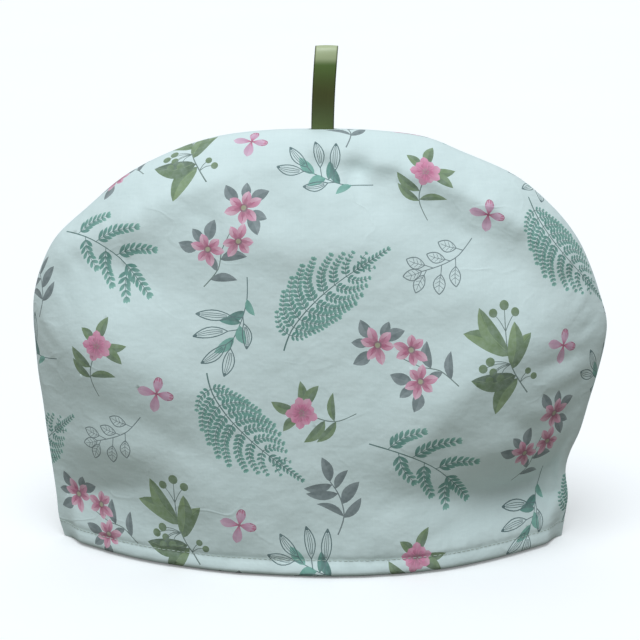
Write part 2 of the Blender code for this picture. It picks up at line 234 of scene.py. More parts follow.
class Panel:
    """One panel. Its cut cloth is laid flat round the middle of the hem: a point keeps its bearing
    from there, and lies as far out as the cloth measures along the panel."""

    def __init__(self, folds, creases, facing, seed):
        self.facing, self.seed = facing, seed
        self.folds, self.creases = folds, creases
        left = [(-row[1], row[0]) for row in EDGE]
        right = [(row[2], row[0]) for row in reversed(EDGE)]
        curve = spline(left + [(0.0, EDGE_TOP)] + right, 12)
        bearing = np.arctan2(curve[:, 1], curve[:, 0])
        order = np.argsort(bearing)
        self.edge_bearing, self.edge_reach = bearing[order], np.hypot(*curve.T)[order]
        self.bearings = np.linspace(0, math.pi, 721)
        out = np.sin(np.linspace(0, 1, 400) * math.pi / 2)
        radius = self.reach(self.bearings)[:, None] * out
        x, z = radius * np.cos(self.bearings)[:, None], radius * np.sin(self.bearings)[:, None]
        steps = np.hypot(np.diff(radius, axis=1), np.diff(self.depth(x, z, False), axis=1))
        run = np.concatenate([np.zeros((len(radius), 1)), np.cumsum(steps, 1)], 1)
        self.cloth_reach = run[:, -1]
        self.shares = out
        self.outward = np.array([np.interp(out, row / row[-1], out) for row in run])

    def reach(self, bearing):
        """How far the seam is from the middle of the hem."""
        return np.interp(bearing, self.edge_bearing, self.edge_reach)

    def depth(self, x, z, fine=True):
        """How far the outer face stands out from the seam plane."""
        up = np.maximum(z, 0.0)
        angle = np.arctan2(up, x)
        ratio = np.minimum(np.hypot(x, up) / self.reach(angle), 1.0)
        # straight-sided at the hem, and rounder and blunter up towards the top
        lift = smooth(0.0, 1.15, np.minimum(angle, math.pi - angle))
        base = HEM_HALF_DEPTH * (1 - ratio ** (2.0 + 0.8 * lift)) ** (1.02 - 0.50 * lift)
        away = 1 - smooth(0.86, 1.0, ratio)
        fold = sum(crease(x, z, row) for row in self.folds)
        out = base - fold * (0.25 + 0.75 * away) * smooth(0.0, 0.10, 1 - ratio)
        side = smooth(40, 120, np.abs(x)) * smooth(0.0, 0.25, 1 - ratio)
        out += SIDE_FULLNESS * side * np.exp(-((z - SIDE_HEIGHT) / SIDE_SPREAD) ** 2)
        if fine:
            out += self.relief(x, z, ratio)
        return np.maximum(out, 0.35 * base)

    def relief(self, x, z, ratio):
        """What only the cloth shows: small creases, uneven wadding, gathers, and the swell of the hem."""
        inside = smooth(0.0, 0.08, 1 - ratio)
        out = -sum(crease(x, z, row, True) for row in self.creases) * smooth(0.0, 0.085, 1 - ratio)
        out += LONG_WAVES * ripples(x, z, self.seed, 14, 38, 95)
        out += SHORT_WAVES * ripples(x, z, self.seed + 1, 16, 13, 30)
        gather = np.clip(ripples(x, z * 0.06, self.seed + 2, 12, 4.2, 10.0), -1, 1)
        above = smooth(STITCH_HEIGHT - 2.5, STITCH_HEIGHT + 1.0, z) * smooth(24, STITCH_HEIGHT + 1, z)
        out += GATHERS * gather * above
        pucker = np.clip(ripples(240 * np.arctan2(z, x), 6 * ratio, self.seed + 3, 12, 7, 19), -1, 1)
        out += PUCKERS * pucker * smooth(0.86, 0.95, ratio) * smooth(60, 120, z)
        out -= STITCH_DRAW * np.exp(-((z - STITCH_HEIGHT) / 1.6) ** 2)
        out += HEM_SWELL * (np.exp(-((z - 2.4) / 4.4) ** 2) - np.exp(-(z / HEM_ROUNDING) ** 2))
        return out * inside

    def stand(self, x, z, depth):
        """The outer face's points, parted at the top seam where the ribbon passes."""
        mouth = RIBBON_MOUTH * smooth(9.5, 6.4, np.abs(x - RIBBON_X)) * smooth(228, 236, z)
        return np.stack([x, self.facing * (depth + SEAM_GAP + mouth), z], -1)

    def place(self, cloth, rim):
        """Where points of the cut cloth lie on the panel; those on its rim lie exactly on it."""
        bearing = np.arctan2(np.maximum(cloth[:, 1], 0.0), cloth[:, 0])
        row = bearing / math.pi * (len(self.bearings) - 1)
        low = np.clip(row.astype(int), 0, len(self.bearings) - 2)
        part = row - low
        reach = np.interp(bearing, self.bearings, self.cloth_reach)
        share = np.clip(np.hypot(*cloth.T) / reach, 0, 1)
        col = np.clip(np.arcsin(share) * 2 / math.pi * (len(self.shares) - 1), 0, len(self.shares) - 1.001)
        left = col.astype(int)
        f = (share - self.shares[left]) / (self.shares[left + 1] - self.shares[left])
        out = sum(wj * wi * self.outward[low + j, left + i]
                  for j, wj in ((0, 1 - part), (1, part)) for i, wi in ((0, 1 - f), (1, f)))
        hem = rim & (cloth[:, 1] < 1e-4)
        seam = rim & ((cloth[:, 1] >= 1e-4) | (share > 1 - 1e-6))
        bearing = np.where(hem, np.where(cloth[:, 0] < 0, math.pi, 0.0), bearing)
        radius = np.where(seam, 1.0, out) * self.reach(bearing)
        x, z = radius * np.cos(bearing), np.where(hem, 0.0, radius * np.sin(bearing))
        return self.stand(x, z, np.where(seam, 0.0, self.depth(x, z)))

    def outline(self):
        """The edge of the cut cloth, anticlockwise from the left end of the hem."""
        count = int(2 * self.cloth_reach[0] / EDGE_STEP)
        hem = np.linspace(-self.cloth_reach[-1], self.cloth_reach[0], count)
        edge = self.cloth_reach[:, None] * rays(self.bearings)
        run = run_along(edge)
        even = np.linspace(0, run[-1], int(run[-1] / EDGE_STEP))[1:-1]
        # read at even steps along the edge, each on its own bearing
        bearing = np.interp(even, run, self.bearings)
        far = np.interp(bearing, self.bearings, self.cloth_reach)
        return np.concatenate([np.stack([hem, np.zeros(len(hem))], -1), far[:, None] * rays(bearing)])

    def points(self, step, hem_step, clear):
        """Points spread evenly over the cut cloth, closer together along the hem, and clear of its edge."""
        rows, b, half_width, row_share = [], clear, 200, 0.87
        while b < self.cloth_reach.max():
            here = hem_step if b < HEM_BAND else step
            a = np.arange(-half_width, half_width, here) + (len(rows) % 2) * here / 2
            rows.append(np.stack([a, np.full(len(a), b)], -1))
            b += here * row_share
        spread = np.concatenate(rows)
        bearing = np.arctan2(spread[:, 1], spread[:, 0])
        reach = np.interp(bearing, self.bearings, self.cloth_reach)
        return spread[np.hypot(*spread.T) < reach - clear]


# ---------------------------------------- the printed drawings (mm)
def ink(r, g, b):
    """A printing ink from its screen colour."""
    return np.array([((c / 255 + 0.055) / 1.055) ** 2.4 for c in (r, g, b)])


GREEN_LIGHT, GREEN, GREEN_DARK = ink(128, 154, 88), ink(96, 124, 62), ink(62, 88, 40)
SLATE_LIGHT, SLATE = ink(134, 144, 148), ink(100, 112, 116)
TEAL_LIGHT, TEAL, TEAL_DARK = ink(128, 196, 178), ink(70, 148, 132), ink(28, 92, 86)
PINK_LIGHT, PINK, MAGENTA = ink(246, 196, 216), ink(230, 118, 168), ink(178, 34, 100)
MAUVE_LIGHT, MAUVE = ink(232, 186, 212), ink(204, 132, 172)
CENTRE, CENTRE_RING = ink(164, 156, 120), ink(120, 60, 80)
LINE_TEAL, LINE_GREY, STALK = ink(48, 88, 92), ink(98, 114, 118), ink(88, 108, 100)


def heading(angle):
    return np.array([math.cos(math.radians(angle)), math.sin(math.radians(angle))])


class Drawing:
    """A motif as flat coloured shapes, drawn in its own millimetres with y up."""

    def __init__(self):
        self.shapes = []

    def add(self, outline, start, end, inks):
        self.shapes.append((np.array(outline, float), np.array(start, float), np.array(end, float), *inks))

    def spine(self, base, tip, width, bend, belly, fullness, steps):
        """A leaf's middle line, the half widths along it, and its crosswise direction."""
        base, tip = np.array(base, float), np.array(tip, float)
        length = np.hypot(*(tip - base))
        way = (tip - base) / length
        over = np.array([-way[1], way[0]])
        t = np.linspace(0, 1, steps + 1)
        middle = base + way * (t * length)[:, None] + over * (bend * length * 4 * t * (1 - t))[:, None]
        half = width / 2 * np.sin(math.pi * t ** (math.log(0.5) / math.log(belly))) ** fullness
        half[0] = half[-1] = 0.0
        return middle, half[:, None], over

    def blade(self, base, tip, width, inks, bend=0.0, belly=0.46, fullness=0.82, halves=None, steps=7):
        """A leaf or petal from base to tip; `halves` gives its second half other inks."""
        middle, half, over = self.spine(base, tip, width, bend, belly, fullness, steps)
        left, right = middle + over * half, middle - over * half
        if halves is None:
            self.add(np.concatenate([left, right[-2:0:-1]]), base, tip, inks)
        else:
            self.add(np.concatenate([left, middle[-2:0:-1]]), base, tip, inks)
            self.add(np.concatenate([middle, right[-2:0:-1]]), base, tip, halves)

    def stroke(self, points, start, end, colour, steps=3):
        """A drawn line through the points, from one width to another."""
        line = spline(points, steps) if len(points) > 2 else np.array(points, float)
        run = np.gradient(line, axis=0)
        run /= np.maximum(np.hypot(*run.T)[:, None], 1e-9)
        over = np.stack([-run[:, 1], run[:, 0]], -1) * (np.linspace(start, end, len(line)) / 2)[:, None]
        self.add(np.concatenate([line + over, (line - over)[::-1]]), line[0], line[-1], (colour, colour))

    def disc(self, middle, radius, inks, corners=9):
        turn = np.linspace(0, 2 * math.pi, corners, endpoint=False)
        middle = np.array(middle, float)
        self.add(middle + radius * rays(turn), middle + (radius, -radius), middle + (-radius, radius), inks)

    def lined_leaf(self, base, tip, width, line, colour, bend=0.0, veins=0, ribs=0, dark_tip=False):
        """A leaf in outline, with long veins or short side ribs inside it."""
        middle, half, over = self.spine(base, tip, width, bend, 0.5, 0.85, 7)
        for side in (-1, 1):
            self.stroke(middle + over * side * half, line, line * 1.2, colour, 1)
        for k in range(veins):
            share = 0.62 * ((k + 0.5) / veins * 2 - 1)
            self.stroke((middle + over * share * half)[1:-1], line * 0.7, line * 0.55, colour, 1)
        if ribs:
            self.stroke(middle[:-1], line * 0.75, line * 0.5, colour, 1)
        ahead = (middle[-1] - middle[0]) * 0.15
        for k in range(ribs):
            at = 1 + 1.4 * k
            foot = middle[int(at)] * (1 - at % 1) + middle[int(at) + 1] * (at % 1)
            for side in (-1, 1):
                end = foot + ahead + over * side * half[int(at) + 1] * 0.75
                self.stroke([foot, end], line * 0.6, line * 0.5, colour)
        if dark_tip:
            self.blade(middle[-2], middle[-1], width * 0.28, (colour, colour), 0.0, 0.3, 0.7, steps=3)

    def side_leaves(self, rib, spacing, size, width, lean, inks, bare=0.0):
        """Leaflets in pairs along a rib, smaller towards its tip."""
        line = spline(rib, 8)
        run = run_along(line)
        count = max(int((run[-1] - bare) / spacing), 2)
        for n in range(count + 1):
            place = bare + (run[-1] - bare) * n / count
            behind, foot, ahead = (np.array([np.interp(place + off, run, line[:, k]) for k in (0, 1)])
                                   for off in (-1.0, 0.0, 1.0))
            way = math.degrees(math.atan2(*(ahead - behind)[::-1]))
            light = n / count
            small = 1 - 0.42 * n / count
            pair = (inks[0], inks[1] * (1 - light) + inks[2] * light)
            last = n == count
            for side in ((-1, 0, 1) if last else (-1, 1)):
                turn = way + side * lean * (0.7 if last else 1.0)
                self.blade(foot, foot + size * small * heading(turn), width * (0.6 + 0.4 * small), pair,
                           steps=4, belly=0.55, fullness=0.7)

    def turned(self, a, b, turn, side):
        """The shapes laid on the cloth at (a, b), or their mirror image where side is -1."""
        c, s = heading(turn)
        matrix = np.array([[c * side, -s], [s * side, c]]).T
        for outline, start, end, *inks in self.shapes:
            yield outline @ matrix + (a, b), start @ matrix + (a, b), end @ matrix + (a, b), *inks


def along(line, share):
    """The point at a share of a drawn line, and the way it heads there in degrees."""
    at = share * (len(line) - 1)
    near = min(int(at), len(line) - 2)
    step = line[near + 1] - line[near]
    return line[near] + step * (at - near), math.degrees(math.atan2(step[1], step[0]))


def grown(stalk, rows):
    """Leaves grown from a stalk: where each starts and ends, its width and its bend."""
    for share, lean, length, width, bend in rows:
        foot, way = along(stalk, share)
        yield foot, foot + length * heading(way + lean), width, bend


def add_leaves(art, stalk, rows, inks, halves):
    for foot, tip, width, bend in grown(stalk, rows):
        art.blade(foot, tip, width, inks, bend, halves=halves)


def stalked(points, steps, start, end, colour):
    """A drawing begun with its stalk, which thins from one width to another."""
    art, stalk = Drawing(), spline(points, steps)
    art.stroke(stalk[::steps // 2], start, end, colour, 2)
    return art, stalk


def fern():
    """A full feathery frond, drawn about its middle with the tip up."""
    art, stem = stalked([(4, -39), (-1, -28), (-3, -10), (-1, 13), (5, 40)], 10, 0.85, 0.4, TEAL_DARK)
    dice = random.Random(3)
    for k in range(9):
        share = 0.20 + 0.080 * k
        foot, lean = along(stem, share)
        for side in (1, -1):
            length = (23.5 + side) * math.sin(math.pi * ((k + 1.6) / 10.9) ** 0.85) + dice.uniform(-0.6, 0.6)
            turn = 78 - 30 * share + dice.uniform(-3, 3)
            middle = foot + 0.5 * length * heading(lean + side * turn)
            tip = middle + 0.52 * length * heading(lean + side * (turn - 34))
            small = 0.5 + 0.5 * length / 24
            art.side_leaves((foot, middle, tip), 2.2, 4.2 * small, 2.1 * small, 52,
                            (TEAL_DARK * 0.5 + TEAL * 0.5, TEAL, TEAL_LIGHT), bare=1.4)
            art.stroke((foot, middle, tip), 0.42, 0.24, TEAL_DARK, 3)
    art.side_leaves(stem[[-9, -5, -1]], 2.4, 4.2, 1.6, 42, (TEAL_DARK, TEAL, TEAL_LIGHT))
    return art


def twig():
    """A branching twig with narrow leaves in pairs, drooping to the right."""
    art, main = stalked([(-33, 13), (-12, 6), (7, -6), (24, -25)], 10, 0.75, 0.4, TEAL_DARK)
    leaves = (3.1, 7.0, 2.4, 38, (TEAL_DARK * 0.6 + TEAL * 0.4, TEAL, TEAL_LIGHT))
    branches = (
        # share of the twig, side, length
        (0.18, 1, 21),
        (0.26, -1, 20),
        (0.38, 1, 26),
        (0.50, -1, 21),
        (0.62, 1, 22),
        (0.76, -1, 16),
    )
    for share, side, length in branches:
        foot, way = along(main, share)
        middle = foot + 0.5 * length * heading(way + side * 56)
        rib = (foot, middle, middle + 0.5 * length * heading(way + side * 36))
        art.side_leaves(rib, *leaves, bare=2.0)
        art.stroke(rib, 0.45, 0.25, TEAL_DARK)
    art.side_leaves(main[-9::4], *leaves)
    return art


def flower(art, x, y, size, turn):
    """An open flower of pointed pink petals, dark streaked, round a drab disc."""
    middle, petals = np.array([x, y], float), 6
    for k in range(petals):
        way = turn + 360 * k / petals + 7 * math.sin(3.1 * k + turn)
        tip = middle + heading(way) * size * (1.06 + 0.12 * math.sin(2.3 * k + turn))
        art.blade(middle, tip, size * 0.56, (MAGENTA, PINK_LIGHT), belly=0.58, fullness=0.78,
                  halves=(MAGENTA, PINK * 0.55 + PINK_LIGHT * 0.45))
        for spread, reach in ((-10, 0.60), (0, 0.80), (10, 0.56)):
            art.blade(middle, middle + heading(way + spread) * size * reach, size * 0.13,
                      (MAGENTA * 0.7, MAGENTA * 0.6 + PINK * 0.4), steps=3, belly=0.4)
    art.disc((x, y), size * 0.25, (CENTRE_RING, MAGENTA * 0.6 + CENTRE_RING * 0.4))
    art.disc((x, y), size * 0.16, (CENTRE, CENTRE), 7)


def cluster():
    """Three flowers on a stalk among slate leaves, about the middle flower."""
    art, stalk = stalked([(-19, -26), (-11, -16), (-9, -5), (-3, 8)], 8, 0.65, 0.45, STALK)
    flowers = (
        # x, y, size, turn, the ways its leaves point
        (2.6, 18.5, 9.5, 20, (132, 88, 38, -22, -58)),
        (-17, -5, 8.8, 48, (172, 132, 82)),
        (0, 0, 9, 5, ()),
    )
    for x, y, size, turn, ways in flowers:
        middle = np.array([x, y])
        for k, way in enumerate(ways):
            odd = k % 2
            tip = middle + (17.0 - 2.5 * odd) * heading(way - 4)
            art.blade(middle + 5 * heading(way), tip, 6.8 - 1.4 * odd, (SLATE, SLATE_LIGHT),
                      0.08 - 0.12 * odd, halves=(SLATE * 0.85, SLATE))
    stalk_leaves = (
        # share, lean, length, width, bend
        (0.16, -48, 15, 5, 0.10),
        (0.30, 66, 12, 4.6, -0.08),
        (0.50, -78, 15, 6.2, 0.12),
    )
    add_leaves(art, stalk, stalk_leaves, (SLATE, SLATE_LIGHT), (SLATE * 0.85, SLATE))
    for x, y, size, turn, _ in flowers:
        flower(art, x, y, size, turn)
    return art


def bloom():
    """One full flower with green leaves."""
    art, stalk = stalked([(-1, -4), (-4, -13), (-4, -21), (0, -30)], 8, 0.7, 0.45, STALK)
    leaf_inks = (GREEN, GREEN_LIGHT * 0.4 + GREEN * 0.6)
    for k, way in enumerate((74, 8, -26, 140)):
        art.blade(3 * heading(way), (18.0 - 3.5 * (k == 3)) * heading(way - 5), 6.2 - 0.8 * (k % 2),
                  leaf_inks, 0.08 * (-1) ** k, halves=(GREEN_DARK, GREEN))
    stalk_leaves = (
        # share, lean, length, width, bend
        (0.32, -120, 17, 6.2, 0.10),
        (0.58, -136, 16, 5, 0.08),
        (0.54, 92, 16, 4.4, 0.10),
    )
    add_leaves(art, stalk, stalk_leaves, leaf_inks, (GREEN_DARK, GREEN))
    for k in range(9):
        way, light = 12 + 40 * k, 0.5 + 0.5 * math.cos(math.radians(40 * k + 55))
        art.blade((0, 0), heading(way) * (8.3 + 0.9 * (-1) ** k), 5.0,
                  (MAGENTA, PINK * (1 - 0.6 * light) + PINK_LIGHT * 0.6 * light), belly=0.66, fullness=0.5,
                  halves=(MAGENTA * 0.7 + PINK * 0.3, PINK * 0.7 + PINK_LIGHT * 0.3))
    for k in range(6):
        way, light = 36 + 60 * k, 0.5 + 0.5 * math.cos(math.radians(60 * k + 80))
        outer = MAGENTA * (0.6 - 0.4 * light) + PINK * (0.4 + 0.4 * light)
        art.blade((0, 0), heading(way) * 5.4, 4.0, (MAGENTA * 0.8, outer), belly=0.66, fullness=0.55,
                  halves=(MAGENTA * 0.6 + PINK * 0.4, PINK))
        for spread in (-14, 8):
            art.blade((0, 0), heading(way + spread) * 6.2, 1.1, (MAGENTA * 0.7, PINK), steps=3, belly=0.4)
    for k in range(5):
        x, y = heading(72 * k + 12) * (1.5, 1.1)
        art.disc((x, y), 0.42, (CENTRE_RING, CENTRE), 6)
    return art


def loose_petals():
    """Four slender mauve petals thrown open, two of them edged in magenta."""
    art = Drawing()
    for k in range(4):
        way, edged = 80 + 90 * k, k in (0, 3)
        long = 9.6 if edged else 11.2
        art.blade((0, 0), heading(way) * long, 5.6, (MAUVE, MAUVE_LIGHT), belly=0.64, fullness=0.62,
                  halves=(MAUVE * 0.9, MAUVE_LIGHT * 0.6 + MAUVE * 0.4))
        for spread in (-16, 14):
            art.blade((0, 0), heading(way + spread) * 4.2, 0.9, (MAGENTA, PINK), steps=3, belly=0.3)
        if edged:
            out, over = heading(way) * long, heading(way + 90)
            art.stroke([out * 0.60 + over * 2.3, out * 0.90 + over * 1.7, out * 0.99,
                        out * 0.90 - over * 1.7, out * 0.66 - over * 2.2], 0.5, 0.5, MAGENTA)
            art.blade(out * 0.72 - over * 0.6, out * 0.97 - over * 0.4, 1.3, (PINK, MAGENTA), steps=3)
            art.blade(out * 0.74 + over * 0.9, out * 0.96 + over * 0.8, 1.1, (PINK, MAGENTA), steps=3)
    art.disc((0, 0), 1.0, (MAGENTA * 0.7, MAGENTA), 7)
    return art


def berries():
    """Broad green leaves and bunches of round berries on a stalk."""
    art, stalk = stalked([(16, -21), (8, -9), (3.5, 4), (2.5, 24)], 10, 0.8, 0.5, STALK)
    leaves = (
        # share, lean, length, width, bend
        (0.26, 116, 24, 10, -0.12),
        (0.30, 64, 26, 11.4, 0.10),
        (0.62, 52, 28, 10.6, -0.10),
        (0.64, 22, 30, 10.2, 0.08),
        (0.42, -54, 23, 9, 0.10),
        (0.46, -28, 25, 9.6, -0.06),
    )
    for k, (foot, tip, width, bend) in enumerate(grown(stalk, leaves)):
        one, other = (GREEN, GREEN_LIGHT), (GREEN_DARK * 0.5 + GREEN * 0.5, GREEN)
        if k == 1:
            one, other = (GREEN_DARK, GREEN), (GREEN_DARK, GREEN_DARK)
        art.blade(foot, tip, width, one, bend, steps=9, fullness=0.74, halves=other)
        over = np.array([foot[1] - tip[1], tip[0] - foot[0]]) * bend
        rib = [foot * 0.9 + tip * 0.1, (foot + tip) / 2 + over, foot * 0.1 + tip * 0.9]
        art.stroke(rib, 0.35, 0.2, GREEN_LIGHT)
    bunches = (
        # share of the stalk, then each berry: lean, length of its own stem, radius
        (0.84, ((34, 12, 2.5), (0, 14, 2.8), (-32, 12, 2.5))),
        (0.50, ((78, 16, 2.5), (92, 11, 2.3), (62, 12, 2.6), (106, 15, 2.3), (124, 10, 2.5))),
        (0.20, ((-70, 8, 2), (-104, 9, 2.1))),
    )
    for share, fruit in bunches:
        foot, way = along(stalk, share)
        for lean, length, radius in fruit:
            ball = foot + length * heading(way + lean)
            art.stroke([foot, foot + 0.5 * length * heading(way + 0.85 * lean), ball], 0.5, 0.4, STALK)
            art.disc(ball, radius, (GREEN_DARK * 0.6 + GREEN * 0.4, GREEN * 0.7 + GREEN_LIGHT * 0.3), 12)
    return art


def line_sprig():
    """Small round leaves in outline, hanging from the right end of their stalk."""
    art, stalk = stalked([(0, 0), (-8, -9), (-18, -14), (-28, -17)], 8, 0.55, 0.5, LINE_GREY)
    stems = (
        # share, lean, length, width, bend
        (0.24, -66, 4, 6.2, 0.05),
        (0.40, 58, 4.5, 6.2, -0.05),
        (0.50, -40, 3, 5.6, 0.05),
        (0.66, 62, 5, 6.6, -0.04),
        (0.80, -34, 5, 6.2, 0.05),
        (1.00, -2, 1, 6.2, 0.06),
        (0.92, 48, 3, 6, -0.05),
    )
    for foot, end, width, bend in grown(stalk, stems):
        art.stroke([foot, end], 0.5, 0.45, LINE_GREY)
        tip = end + 10.8 * (end - foot) / np.hypot(*(end - foot))
        art.lined_leaf(end, tip, width, 0.52, LINE_GREY, bend, ribs=3)
    return art


def mixed_sprig():
    """Filled teal leaves and outlined leaves by turns on a bending stalk, growing left from its end."""
    art, stalk = stalked([(0, 0), (-12, 0), (-24, 3), (-35, 8)], 8, 0.55, 0.5, LINE_TEAL)
    light, half = (TEAL, TEAL_LIGHT), (TEAL * 0.6 + TEAL_LIGHT * 0.4, TEAL * 0.5 + TEAL_LIGHT * 0.5)
    deep, dusk = (TEAL_DARK * 0.5 + TEAL * 0.5, TEAL), (TEAL_DARK, TEAL_DARK * 0.4 + TEAL * 0.6)
    filled = (
        # share, lean, length, width, bend
        (0.34, 34, 10, 4, -0.10),
        (0.52, -52, 12, 5.2, 0.10),
        (0.74, 42, 11, 5.6, -0.12),
        (0.70, -74, 12, 4.6, -0.05),
        (0.92, -26, 14, 5.8, 0.06),
    )
    for k, (foot, tip, width, bend) in enumerate(grown(stalk, filled)):
        art.blade(foot, tip, width, deep if k % 2 else light, bend, halves=dusk if k % 2 else half)
    outlined = (
        # share, lean, length, width, bend
        (1.00, 12, 20, 6.2, 0.05),
        (0.96, -28, 22, 5.6, 0.05),
        (0.80, -56, 25, 5.6, -0.04),
        (0.62, -76, 26, 5.6, 0),
        (0.60, 24, 18, 5, 0.08),
    )
    for foot, tip, width, bend in grown(stalk, outlined):
        start = foot * 0.78 + tip * 0.22
        art.stroke([foot, start], 0.5, 0.5, LINE_TEAL)
        art.lined_leaf(start, tip, width, 0.55, LINE_TEAL, bend, veins=3, dark_tip=True)
    return art


def slate_sprig():
    """Pointed slate leaves by turns on a bent stalk."""
    art, stalk = stalked([(0, -20), (3.4, -9), (0.6, 3), (-4.4, 11)], 8, 0.8, 0.6, SLATE)
    leaves = (
        # share, lean, length, width, bend
        (1.00, -16, 15, 6.2, -0.06),
        (0.90, 62, 16, 5.6, 0.08),
        (0.80, -66, 13, 4.8, 0.10),
        (0.70, 66, 18, 5.6, 0.06),
        (0.52, -52, 16, 7, 0.06),
        (0.30, -34, 15, 5.4, -0.06),
        (0.32, 70, 17, 4, -0.12),
    )
    add_leaves(art, stalk, leaves, (SLATE, SLATE_LIGHT * 0.5 + SLATE * 0.5), (SLATE * 0.8, SLATE))
    return art


MOTIFS = {draw.__name__: draw() for draw in (fern, twig, cluster, bloom, loose_petals, berries,
                                             line_sprig, mixed_sprig, slate_sprig)}

# One repeat of the print on the cloth, with the two steps by which it comes round again.
ONE_REPEAT = (
    # drawing,       across,up,  turn,side
    ("fern",         5,   160, -45, 1),
    ("fern",         -40, 85,  220, -1),
    ("twig",         60,  65,  0,   1),
    ("cluster",      -45, 190, 0,   1),
    ("cluster",      50,  130, 90,  1),
    ("bloom",        60,  230, 0,   1),
    ("bloom",        -10, 95,  90,  1),
    ("loose_petals", 95,  205, 0,   1),
    ("loose_petals", 140, 130, 0,   1),
    ("berries",      100, 125, 0,   1),
    ("line_sprig",   85,  190, 0,   1),
    ("mixed_sprig",  30,  220, 0,   1),
    ("mixed_sprig",  -40, 170, 90,  1),
    ("slate_sprig",  10,  45,  0,   1),
)
REPEAT_STEPS = ((185.0, 100.0), (180.0, -120.0))
FRONT_CUT, BACK_CUT = (0.0, 0.0), (97.0, 54.0)      # where each panel was cut from the cloth


# ---------------------------------------- materials
def linked(tree, kind, **settings):
    node = tree.nodes.new(kind)
    for key, value in settings.items():
        setattr(node, key, value)
    return node


def feed(tree, node, **inputs):
    """Set or link a node's inputs by their names, with _ for a space, or by n and their number."""
    for key, value in inputs.items():
        numbered = key[0] == "n" and key[1:].isdigit()
        socket = node.inputs[int(key[1:]) if numbered else key.replace("_", " ")]
        if isinstance(value, bpy.types.NodeSocket):
            tree.links.new(value, socket)
        else:
            socket.default_value = value
    return node


def maths(tree, operation, first, second=0.0):
    node = linked(tree, "ShaderNodeMath", operation=operation)
    return feed(tree, node, n0=first, n1=second).outputs[0]


def times(tree, first, second):
    return maths(tree, "MULTIPLY", first, second)


def plus(tree, first, second):
    return maths(tree, "ADD", first, second)


def away_from(tree, place, middle):
    return maths(tree, "ABSOLUTE", maths(tree, "SUBTRACT", place, middle))


def ranged(tree, value, low, high, start, end, kind="LINEAR"):
    """From start to end as the value goes from low to high."""
    node = linked(tree, "ShaderNodeMapRange", interpolation_type=kind)
    feed(tree, node, Value=value, From_Min=low, From_Max=high, To_Min=start, To_Max=end)
    return node.outputs["Result"]


def blended(tree, factor, first, second, blend_type="MIX"):
    node = linked(tree, "ShaderNodeMix", data_type="RGBA", blend_type=blend_type)
    return feed(tree, node, n0=factor, n6=first, n7=second).outputs[2]


def noise(tree, place, scale, detail=2.0, roughness=0.5):
    node = linked(tree, "ShaderNodeTexNoise")
    return feed(tree, node, Vector=place, Scale=scale, Detail=detail, Roughness=roughness).outputs["Fac"]


def stretched(tree, place, along, across):
    node = linked(tree, "ShaderNodeMapping")
    return feed(tree, node, Vector=place, Scale=(along, across, 1.0)).outputs["Vector"]


def bumped(tree, relief, strength):
    node = feed(tree, linked(tree, "ShaderNodeBump"), Strength=strength, Distance=1.0, Height=relief)
    return node.outputs["Normal"]


def camera_sees(tree, shown, lit, output):
    """Give the camera's own view one surface, and everything else another."""
    ray = linked(tree, "ShaderNodeLightPath").outputs["Is Camera Ray"]
    both = feed(tree, linked(tree, "ShaderNodeMixShader"), n0=ray, n1=lit, n2=shown)
    tree.links.new(both.outputs["Shader"], tree.nodes[output].inputs["Surface"])


def new_group(name, kind, *sockets):
    """A node group with its sockets: in or out, name, kind, and a first value where it has one."""
    tree = bpy.data.node_groups.new(name, kind)
    for way, label, sort, *value in sockets:
        socket = tree.interface.new_socket(label, in_out=way, socket_type="NodeSocket" + sort)
        if value:
            socket.default_value = value[0]
    return tree, tree.nodes.new("NodeGroupInput"), tree.nodes.new("NodeGroupOutput")


def weave_group():
    """Crossing threads, uneven in thickness: a height, and how full the threads are."""
    tree, start, end = new_group(
        "plain weave", "ShaderNodeTree", ("INPUT", "Place", "Vector"),
        ("INPUT", "Threads per metre", "Float", 2300.0), ("INPUT", "Unevenness", "Float", 0.7),
        ("OUTPUT", "Height", "Float"), ("OUTPUT", "Slubs", "Float"))
    place = start.outputs["Place"]
    split = feed(tree, linked(tree, "ShaderNodeSeparateXYZ"), Vector=place)
    turn = times(tree, start.outputs["Threads per metre"], math.pi)
    waves = [maths(tree, "SINE", times(tree, split.outputs[k], turn)) for k in (0, 1)]
    warp = noise(tree, stretched(tree, place, 900.0, 22.0), 1.0, 1.0)
    weft = noise(tree, stretched(tree, place, 22.0, 900.0), 1.0, 1.0)
    slubs = plus(tree, warp, weft)
    lumps = times(tree, maths(tree, "SUBTRACT", slubs, 1.0), start.outputs["Unevenness"])
    height = plus(tree, times(tree, times(tree, waves[0], waves[1]), 0.25), lumps)
    tree.links.new(height, end.inputs["Height"])
    tree.links.new(slubs, end.inputs["Slubs"])
    return tree


def new_material(name):
    mat = bpy.data.materials.new(name)
    mat.use_nodes = True
    tree = mat.node_tree
    return mat, tree, tree.nodes["Principled BSDF"]


